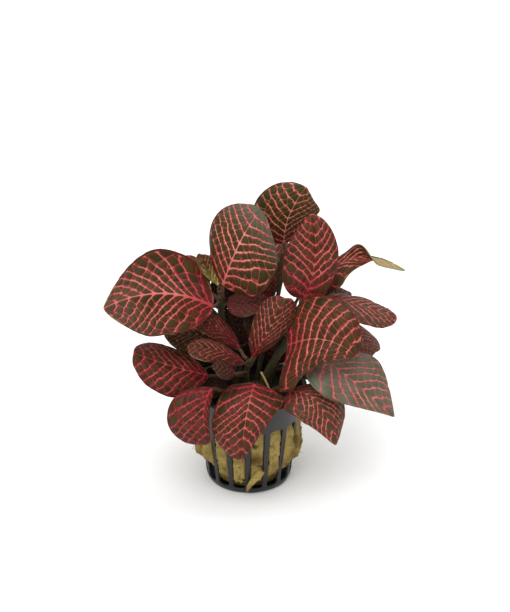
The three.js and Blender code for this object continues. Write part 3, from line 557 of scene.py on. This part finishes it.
def vein_net(blade, chance):
    """A flat blade cut into cells by its veins. Each vertex holds how far inside a vein it is."""
    bm = bmesh.new()
    vein = bm.verts.layers.float.new("vein")
    scale = min(1.15, max(0.6, (blade.length / 50) ** 0.5))
    rows = max(6, round(blade.length / (SIDE_VEIN_GAP * scale)) + 1)
    bmesh.ops.create_grid(bm, x_segments=2 * ACROSS, y_segments=rows, size=1)
    lean = SIDE_VEIN_LEAN * chance.uniform(0.92, 1.05)
    seed = chance.uniform(0, 100)

    def spread(row, column):
        """The place on the flat blade of a row and a column, which need not be whole numbers."""
        out = min(1, abs(column) / ACROSS)
        inner = 4 * out * (1 - out)
        wave = noise.noise((row * 0.7 + seed, column * 0.3, 0))
        row = row + 0.3 * min(1, 4 * out) * wave * min(1, row, rows - row)
        # side veins lie closer near the base, and run forward on their way to the edge
        u = max(0, row / rows) ** 1.35
        u += (1 - u) * lean * u / (u + 0.22) * out**0.9
        shift = 0.03 * inner * noise.noise((row * 1.3, column * 0.8, seed))
        return blade.flat(min(1, u), math.copysign(min(1, out + shift), column))

    grid = {}
    for vert in bm.verts:
        row, column = round((vert.co.y + 1) * rows / 2), round(vert.co.x * ACROSS)
        vert.co = (column, row, 0)
        grid[row, column] = vert
        out, u = abs(column) / ACROSS, row / rows
        if column == 0 or row == 0:
            half = MIDRIB_HALF[1] + (MIDRIB_HALF[0] - MIDRIB_HALF[1]) * (1 - u) ** 1.5
        else:
            half = SIDE_VEIN_HALF[0] + (SIDE_VEIN_HALF[1] - SIDE_VEIN_HALF[0]) * max(out, u - 0.2)
        vert[vein] = RIM_VEIN if abs(column) == ACROSS else half * scale

    long = [e for e in bm.edges if e.verts[0].co.x == e.verts[1].co.x and 0 < abs(e.verts[0].co.x) < ACROSS]
    bmesh.ops.dissolve_edges(bm, edges=long, use_verts=False)

    def join(a, b, half, bend):
        """A cross vein from one vertex to another, thin from just off them and a little bent."""
        edges = bmesh.ops.connect_verts(bm, verts=[a, b])["edges"]
        for edge, part in ((edges[0], 0.2), (edges[0], 0.75)) if edges else ():
            _, middle = bmesh.utils.edge_split(edge, a if a in edge.verts else edge.verts[0], part)
            middle[vein] = half * scale * chance.uniform(0.85, 1.15)
            middle.co += bend(chance.uniform(-1, 1))

    for half in (-1, 1):
        for row in range(rows):
            last = spread(row + 0.5, 0)
            for column in range(2, ACROSS - 2):
                here = spread(row + 0.5, half * (column - 1))
                if (here - last).length > CROSS_VEIN_GAP * scale * chance.choice((0.85, 1, 1.2, 1.5)):
                    join(grid[row, half * column], grid[row + 1, half * (column - 2)], CROSS_VEIN_HALF,
                         lambda way: Vector((0.2 * way, 0, 0)))
                    last = here
            end = half * (ACROSS - 1)
            join(grid[row, end], grid[row + 1, end], LOOP_VEIN_HALF, lambda way: Vector((0.35 * half, 0, 0)))
    rim = [e for e in bm.edges if e.is_boundary and abs(e.verts[0].co.x) == abs(e.verts[1].co.x) == ACROSS]
    for vert in bmesh.ops.subdivide_edges(bm, edges=rim, cuts=2)["geom_inner"]:
        if isinstance(vert, bmesh.types.BMVert):
            vert[vein] = RIM_VEIN
    for vert in bm.verts:
        vert.co = spread(vert.co.y, vert.co.x)
    bmesh.ops.remove_doubles(bm, verts=bm.verts, dist=0.05)

    # twice, so that a cell that is still large after one cut gets another
    for _ in range(2):
        for face in [each for each in bm.faces if each.calc_area() > CELL_AREA * scale**2]:
            corners = face.verts[:]
            count = len(corners)
            pairs = [(a, b) for b in range(count) for a in range(b)
                     if min(b - a, count + a - b) >= count // 3]
            if pairs:
                a, b = min(pairs, key=lambda pair: (corners[pair[0]].co - corners[pair[1]].co).length)
                join(corners[a], corners[b], CROSS_VEIN_HALF,
                     lambda way: Vector((0.15 * way, -0.15 * way, 0)))
    return bm


def off_edge(place, edge):
    """How far a place lies from an edge."""
    a, b = (vert.co for vert in edge.verts)
    near, part = intersect_point_line(place, a, b)
    return (place - (a if part < 0 else b if part > 1 else near)).length


def puff_cells(bm, chance):
    """Raises each cell between its veins to a low crown, and gives it a shade of its own."""
    layer = bm.verts.layers.float
    vein, rise, cell = layer["vein"], layer.new("rise"), layer.new("cell")
    for vert in bm.verts:
        vert[rise] = 0 if vert.is_boundary else -0.1 - 0.2 * max(0, vert[vein])
        vert[cell] = 0.5
    sizes = {}
    for face in bm.faces:
        middle = face.calc_center_median_weighted()
        room = min(off_edge(middle, edge) for edge in face.edges)
        if room > 0.12:
            margin = round(min(CELL_MARGIN, 0.6 * room), 1) or 0.1
            sizes.setdefault(margin, []).append((face, middle, room))
    crowns = []
    for margin, group in sizes.items():
        bmesh.ops.inset_individual(bm, faces=[face for face, _, _ in group], thickness=margin,
                                   use_even_offset=True)
        for face, middle, room in group:
            shade = chance.random()
            inner = face.verts[:]
            outer = [next(e.other_vert(v) for e in v.link_edges if e.other_vert(v) not in inner)
                     for v in inner]
            turned = any((inner[i].co - inner[i - 1].co).dot(outer[i].co - outer[i - 1].co) < 0
                         for i in range(len(inner)))
            for vert, edge in zip(inner, outer):
                step = (middle - edge.co) * 0.4 if turned else vert.co - edge.co
                step *= min(1, 1.6 * margin / max(step.length, 0.01))
                vert.co = edge.co + step
                vert[vein] = edge[vein] - min(margin, 0.8 * step.length)
                vert[rise] = CELL_RISE * 0.4
                vert[cell] = shade
            crowns.append((face, room - margin, shade))
    for face, room, shade in crowns:
        low = sum(v[vein] for v in face.verts) / len(face.verts)
        centre = bmesh.ops.poke(bm, faces=[face])["verts"][0]
        centre[vein] = low - room
        centre[rise] = CELL_RISE * min(1, 0.5 + 0.5 * room)
        centre[cell] = shade


def leaf_piece(leaf, number):
    """A blade with sunk veins and puffed cells, which stands for the leaf's CAD node, and its stalk."""
    leaf = {**COMMON, **leaf, **TINTS.get(leaf["name"], {})}
    chance = random.Random(100 + number)
    blade = Blade(leaf)
    bm = vein_net(blade, chance)
    puff_cells(bm, chance)
    layer = bm.verts.layers.float
    rise = layer["rise"]
    flush, green, painted_sheen, painted_shade, young = (layer.new(n) for n in ("flush", "green", "painted_sheen", "painted_shade", "young"))
    for vert in bm.verts:
        u, v = blade.unpressed(vert.co)
        long_wave, short_wave = noise.noise((u * 5, v * 2, number)), noise.noise((u * 11, v * 2, -number))
        wave = v * v * (0.6 * long_wave + 0.4 * short_wave)
        vert.co = blade.point(u, v) + blade.normal(u) * wave * eased(0, 0.3, u)
        vert[flush] = leaf["flush"] + 0.5 * (1 - eased(0, 0.45, u)) + 0.15 * noise.noise(vert.co * 0.2)
        vert[green] = leaf["green"] * (0.6 + 0.4 * eased(0, 0.5, u))
        patch = 0.75 + 0.5 * noise.noise(vert.co * 0.12)
        # Painted sheen: a silvery sheen in patches, with more of it towards the tip, stands in for a soft
        # reflection of the lights.
        vert[painted_sheen] = leaf["painted_sheen"] * patch + leaf["painted_tip_sheen"] * eased(0.5, 1, u)
        # Painted shade: how much the leaf is darkened, standing in for the shade of the other leaves.
        vert[painted_shade] = leaf["painted_shade"]
        vert[young] = leaf["young"] * (1 - eased(0.05, 0.7, u))
    bm.normal_update()
    for vert, normal in [(v, v.normal.copy()) for v in bm.verts]:
        vert.co += normal * vert[rise]
    piece = finish(bm, leaf["name"] + "_blade", [BLADE, BLADE_UNDER], "leaf", leaf["name"])
    smooth = piece.modifiers.new("smooth", "SUBSURF")
    smooth.levels = smooth.render_levels = 1
    wall = piece.modifiers.new("thickness", "SOLIDIFY")
    wall.thickness = BLADE_THICKNESS / 1000
    wall.offset = 0
    wall.material_offset = wall.material_offset_rim = 1

    radii, stem = STEMS[leaf["stem"]]
    stem = points(stem)
    seat = on_curve(stem, leaf["at"])
    axis = (on_curve(stem, leaf["at"]) - on_curve(stem, leaf["at"] - 0.02)).normalized()
    out = blade.base - seat
    out = (out - axis * out.dot(axis)).normalized()
    start = seat + out * (radii[0] + (radii[1] - radii[0]) * leaf["at"] - 0.4)
    elbow = start + out * (STALK_ELBOW + GAP) + axis * 0.4 * STALK_ELBOW
    stalk = [start, elbow, elbow.lerp(blade.base, 0.5), blade.base]
    path = [on_curve(stalk, i / STALK_STEPS) for i in range(STALK_STEPS)]
    width = [STALK_RADIUS * (1.15 - 0.25 * i / STALK_STEPS) for i in range(STALK_STEPS)]
    for i in range(STALK_STEPS + 1):
        u = 0.02 + 0.85 * i / STALK_STEPS
        size = STALK_RADIUS * (0.9 - 0.75 * i / STALK_STEPS)
        path.append(blade.midrib(u) - blade.normal(u) * (0.15 + 0.95 * size))
        width.append(size)
    bm = bmesh.new()
    rod(bm, path, width, 8)
    finish(bm, leaf["name"] + "_stalk", [STALK], "leaf")


for number, leaf in enumerate(LEAVES):
    leaf_piece(leaf, number)

# ---------------------------------------------------------------- stems


def stem_piece(name):
    """A stem that swells at each pair of stalks."""
    radii, path = STEMS[name]
    path = points(path)
    joints = [leaf["at"] for leaf in LEAVES if leaf["stem"] == name]
    steps = 28
    places, widths = [], []
    for i in range(steps + 1):
        t = i / steps
        swell = sum(math.exp(-(((t - at) / 0.03) ** 2)) for at in joints)
        places.append(on_curve(path, t))
        widths.append((radii[0] + (radii[1] - radii[0]) * t) * (1 + 0.12 * min(1, swell)))
    bm = bmesh.new()
    rod(bm, places, widths, 14)
    for vert in bm.verts:
        vert.co += Vector((1, 1, 0)) * 0.12 * noise.noise(vert.co * 0.4)
    finish(bm, name + "_skin", [DRY if name == "dry_stalk" else STEM],
           "dry_stalk" if name == "dry_stalk" else "stem", name)


for name in STEMS:
    stem_piece(name)

# ---------------------------------------------------------------- net pot


def pot_radius(height):
    """Outer radius of the pot: a rounded heel, then a straight wall that widens to the brim."""
    if height >= HEEL_HEIGHT:
        return HEEL_RADIUS + (BRIM_RADIUS - HEEL_RADIUS) * (height - HEEL_HEIGHT) / (POT_HEIGHT - HEEL_HEIGHT)
    return BASE_RADIUS + (HEEL_RADIUS - BASE_RADIUS) * math.sqrt(1 - (1 - height / HEEL_HEIGHT) ** 2)


def net_pot():
    """One rib and one slot, copied all round, then given a wall, soft corners and a lip."""
    heights = [0, 0.6, 1.8, SLOT_FOOT, SLOT_FOOT + SLOT_CORNER, HEEL_HEIGHT, 12, 20, 28,
               SLOT_TOP - SLOT_CORNER, SLOT_TOP, 41, POT_HEIGHT - LIP_HEIGHT, POT_HEIGHT]
    pitch = 2 * math.pi / RIBS
    half_rib = RIB_WIDTH / 2 / pot_radius(20)
    corner = SLOT_CORNER / pot_radius(20)
    turns = [-half_rib, 0, half_rib, half_rib + corner, pitch / 2,
             pitch - half_rib - corner, pitch - half_rib]
    bm = bmesh.new()
    verts = [bm.verts.new((0, -pot_radius(h), h)) for h in heights]
    line = verts + [bm.edges.new(pair) for pair in zip(verts, verts[1:])]
    bmesh.ops.rotate(bm, verts=verts, cent=(0, 0, 0), matrix=Matrix.Rotation(turns[0], 3, "Z"))
    for a, b in zip(turns, turns[1:]):
        made = bmesh.ops.spin(bm, geom=line, cent=(0, 0, 0), axis=(0, 0, 1), angle=b - a, steps=1)
        line = made["geom_last"]
    open_slot = []
    for face in bm.faces:
        middle = face.calc_center_median()
        turn = math.atan2(middle.x, -middle.y)
        if turn > half_rib and SLOT_FOOT < middle.z < SLOT_TOP:
            at_side = turn < half_rib + corner or turn > pitch - half_rib - corner
            at_end = middle.z < SLOT_FOOT + SLOT_CORNER or middle.z > SLOT_TOP - SLOT_CORNER
            if not (at_side and at_end):
                open_slot.append(face)
    bmesh.ops.delete(bm, geom=open_slot, context="FACES")
    for vert in bm.verts:
        turn = math.atan2(vert.co.x, -vert.co.y)
        for side in (half_rib + corner, pitch - half_rib - corner):
            for end, edge in ((SLOT_FOOT + SLOT_CORNER, SLOT_FOOT), (SLOT_TOP - SLOT_CORNER, SLOT_TOP)):
                if abs(turn - side) < 1e-4 and abs(vert.co.z - end) < 1e-4:
                    back = corner * 0.7 * (1 if side > pitch / 2 else -1)
                    height = end + (edge - end) * 0.7
                    radius = pot_radius(height)
                    vert.co = (radius * math.sin(turn + back), -radius * math.cos(turn + back), height)
    bmesh.ops.spin(bm, geom=bm.verts[:] + bm.edges[:] + bm.faces[:], cent=(0, 0, 0), axis=(0, 0, 1),
                   angle=2 * math.pi * (RIBS - 1) / RIBS, steps=RIBS - 1, use_duplicate=True)
    bmesh.ops.remove_doubles(bm, verts=bm.verts, dist=0.01)
    rim = [e for e in bm.edges if e.is_boundary and max(v.co.z for v in e.verts) < 0.01]
    bmesh.ops.holes_fill(bm, edges=rim, sides=0)
    bmesh.ops.recalc_face_normals(bm, faces=bm.faces)
    bmesh.ops.rotate(bm, verts=bm.verts, cent=(0, 0, 0), matrix=Matrix.Rotation(POT_TURN, 3, "Z"))
    piece = finish(bm, "net_pot_shell", [PLASTIC], "pot_plastic", "net_pot")
    wall = piece.modifiers.new("wall", "SOLIDIFY")
    wall.thickness = WALL / 1000
    wall.offset = -1
    edge = piece.modifiers.new("edge", "BEVEL")
    edge.width = 0.00025
    edge.segments = 2
    edge.limit_method = "ANGLE"
    edge.angle_limit = math.radians(40)

    lip = bmesh.new()
    low, high = POT_HEIGHT - LIP_HEIGHT, POT_HEIGHT
    inner, outer = BRIM_RADIUS - 0.2, BRIM_RADIUS + LIP_WIDTH
    outline = [(inner, low), (outer - 0.3, low), (outer, low + 0.4), (outer, high - 0.4), (outer - 0.3, high),
               (inner, high)]
    verts = [lip.verts.new((r, 0, z)) for r, z in outline]
    edges = [lip.edges.new(pair) for pair in zip(verts, verts[1:] + verts[:1])]
    bmesh.ops.spin(lip, geom=verts + edges, cent=(0, 0, 0), axis=(0, 0, 1), angle=2 * math.pi, steps=96,
                   use_merge=True)
    bmesh.ops.recalc_face_normals(lip, faces=lip.faces)
    finish(lip, "net_pot_lip", [PLASTIC], "pot_plastic")


net_pot()

# ---------------------------------------------------------------- mineral wool


def wool_radius(turn, height):
    """Radius of the wool: held behind the ribs, and proud of the wall where it bulges through a slot."""
    place = (turn - POT_TURN) / (2 * math.pi / RIBS) % RIBS
    across = abs(place % 1 - 0.5)
    slot = int(place) % RIBS
    foot = WOOL_FOOT[slot] + 1.5 * noise.noise((turn * 14, 0, 0))
    filled = eased(foot - 1, foot + 1.2, height)
    window = eased(0.39, 0.27, across) * filled * eased(SLOT_TOP, 31, height)
    proud = WOOL_SWELL[slot] * eased(foot, foot + 5, height) * eased(SLOT_TOP + 2, 20, height)
    return pot_radius(height) - WALL - GAP + window * (WALL * 0.8 + proud) - 3 * (1 - filled)


def wool_tuft():
    """A tongue of wool that has worked out of a front slot and hangs to the pot's foot."""
    path = points([(6, -21.5, 14), (4.5, -22.8, 12), (2.6, -23.6, 10), (0.9, -23.6, 7.5),
                   (-0.3, -23, 5), (-0.9, -21.9, 2)])
    steps = 14
    bm = bmesh.new()
    rod(bm, [on_curve(path, i / steps) for i in range(steps + 1)],
        [2.1 * (1 - 0.85 * (i / steps) ** 1.6) for i in range(steps + 1)], 14)
    for vert in bm.verts:
        vert.co += vert.co.normalized() * (0.5 * noise.noise(vert.co * 0.9) + 0.25 * noise.noise(vert.co * 2))
    finish(bm, "wool_tuft", [WOOL], "mineral_wool")


def wool_fibres(count, chance):
    """Loose fibres that stand off the wool where it bulges."""
    bm = bmesh.new()
    for _ in range(count):
        slot, height = chance.randrange(RIBS), chance.uniform(9, 31)
        turn = (slot + chance.uniform(0.25, 0.75)) * 2 * math.pi / RIBS + POT_TURN
        out = Vector((math.sin(turn), -math.cos(turn), 0))
        foot = out * (wool_radius(turn, height) - 0.3) + Vector((0, 0, height))
        drift = Vector([chance.uniform(-1, 1) for _ in range(3)])
        path = [foot + out * lift + drift * stray
                for lift, stray in ((0, 0), (0.7, 0.3), (1.1, 0.9), (1.2, 1.8))]
        rod(bm, path, (0.12, 0.1, 0.08, 0.05), 3)
    finish(bm, "wool_fibres", [WOOL], "mineral_wool")


def wool_plug():
    """A turned plug, pushed out through the slots and roughened where it is free."""
    bm = bmesh.new()
    heights = [1.6 + i * (WOOL_TOP - 2.6) / 56 for i in range(57)]
    outline = [(0.01, 1.5)] + [(pot_radius(h) - 1.6, h) for h in heights]
    outline += [(r, WOOL_TOP - 0.9 + 0.9 * (1 - r / 24) ** 0.5) for r in (24, 21, 17, 13, 9, 5, 2)]
    outline.append((0.01, WOOL_TOP))
    verts = [bm.verts.new((0, -r, z)) for r, z in outline]
    edges = [bm.edges.new(pair) for pair in zip(verts, verts[1:])]
    bmesh.ops.spin(bm, geom=verts + edges, cent=(0, 0, 0), axis=(0, 0, 1), angle=2 * math.pi, steps=224,
                   use_merge=True)
    bmesh.ops.remove_doubles(bm, verts=bm.verts, dist=0.03)
    for vert in bm.verts:
        radius = Vector((vert.co.x, vert.co.y)).length
        turn = math.atan2(vert.co.x, -vert.co.y)
        if vert.co.z < WOOL_TOP - 1.05 and radius > 10:
            wanted = wool_radius(turn, vert.co.z)
            free = eased(-0.6, 0.6, wanted - (pot_radius(vert.co.z) - WALL - GAP) - 0.3)
            rough = sum(high * noise.noise(vert.co * fine)
                        for high, fine in ((0.9, 0.35), (0.5, 0.9), (0.2, 2)))
            wanted += rough * free - 0.4 * (1 - free)
            vert.co = (wanted * math.sin(turn), -wanted * math.cos(turn), vert.co.z)
        elif vert.co.z > WOOL_TOP - 1.05:
            vert.co.z += 0.9 * noise.noise(vert.co * 0.4) + 0.4 * noise.noise(vert.co * 1.1)
    bmesh.ops.recalc_face_normals(bm, faces=bm.faces)
    finish(bm, "wool_plug_felt", [WOOL], "mineral_wool", "wool_plug")


wool_plug()
wool_tuft()
wool_fibres(220, random.Random(7))

# ---------------------------------------------------------------- light, floor and camera


def soft_light(name, strength, softness, height, turn):
    """A far light as wide as `softness` degrees, at a height and a turn from the front, in degrees."""
    lamp = bpy.data.lights.new(name, "SUN")
    lamp.energy, lamp.angle = strength, math.radians(softness)
    made = bpy.data.objects.new(name, lamp)
    made.rotation_euler = (math.radians(90 - height), 0, math.radians(turn))
    bpy.context.scene.collection.objects.link(made)


def studio():
    """A plain pale floor and sky with two wide soft lights, and the camera where the photo was taken."""
    scene = bpy.context.scene
    made, tree, shader = material("floor_matt_paper")
    shader.inputs["Base Color"].default_value = (0.9, 0.9, 0.9, 1)
    shader.inputs["Roughness"].default_value = 1.0
    bm = bmesh.new()
    bmesh.ops.create_grid(bm, x_segments=1, y_segments=1, size=FLOOR_SIZE)
    mesh = bpy.data.meshes.new("floor")
    bm.to_mesh(mesh)
    bm.free()
    mesh.materials.append(made)
    floor = bpy.data.objects.new("floor", mesh)
    scene.collection.objects.link(floor)

    world = bpy.data.worlds.new("sky")
    world.use_nodes = True
    world.node_tree.nodes["Background"].inputs["Color"].default_value = (1, 1, 1, 1)
    world.node_tree.nodes["Background"].inputs["Strength"].default_value = 0.65
    scene.world = world
    scene.view_settings.view_transform = "Standard"
    soft_light("key", 1.9, 50, 55, -25)
    soft_light("top", 1.4, 60, 65, 150)

    lens = bpy.data.cameras.new("camera")
    lens.lens, lens.sensor_width = CAMERA_LENS, 36
    camera = bpy.data.objects.new("camera", lens)
    camera.location = CAMERA_PLACE
    camera.rotation_euler = (math.radians(CAMERA_TILT), 0, 0)
    scene.collection.objects.link(camera)
    scene.camera = camera


studio()
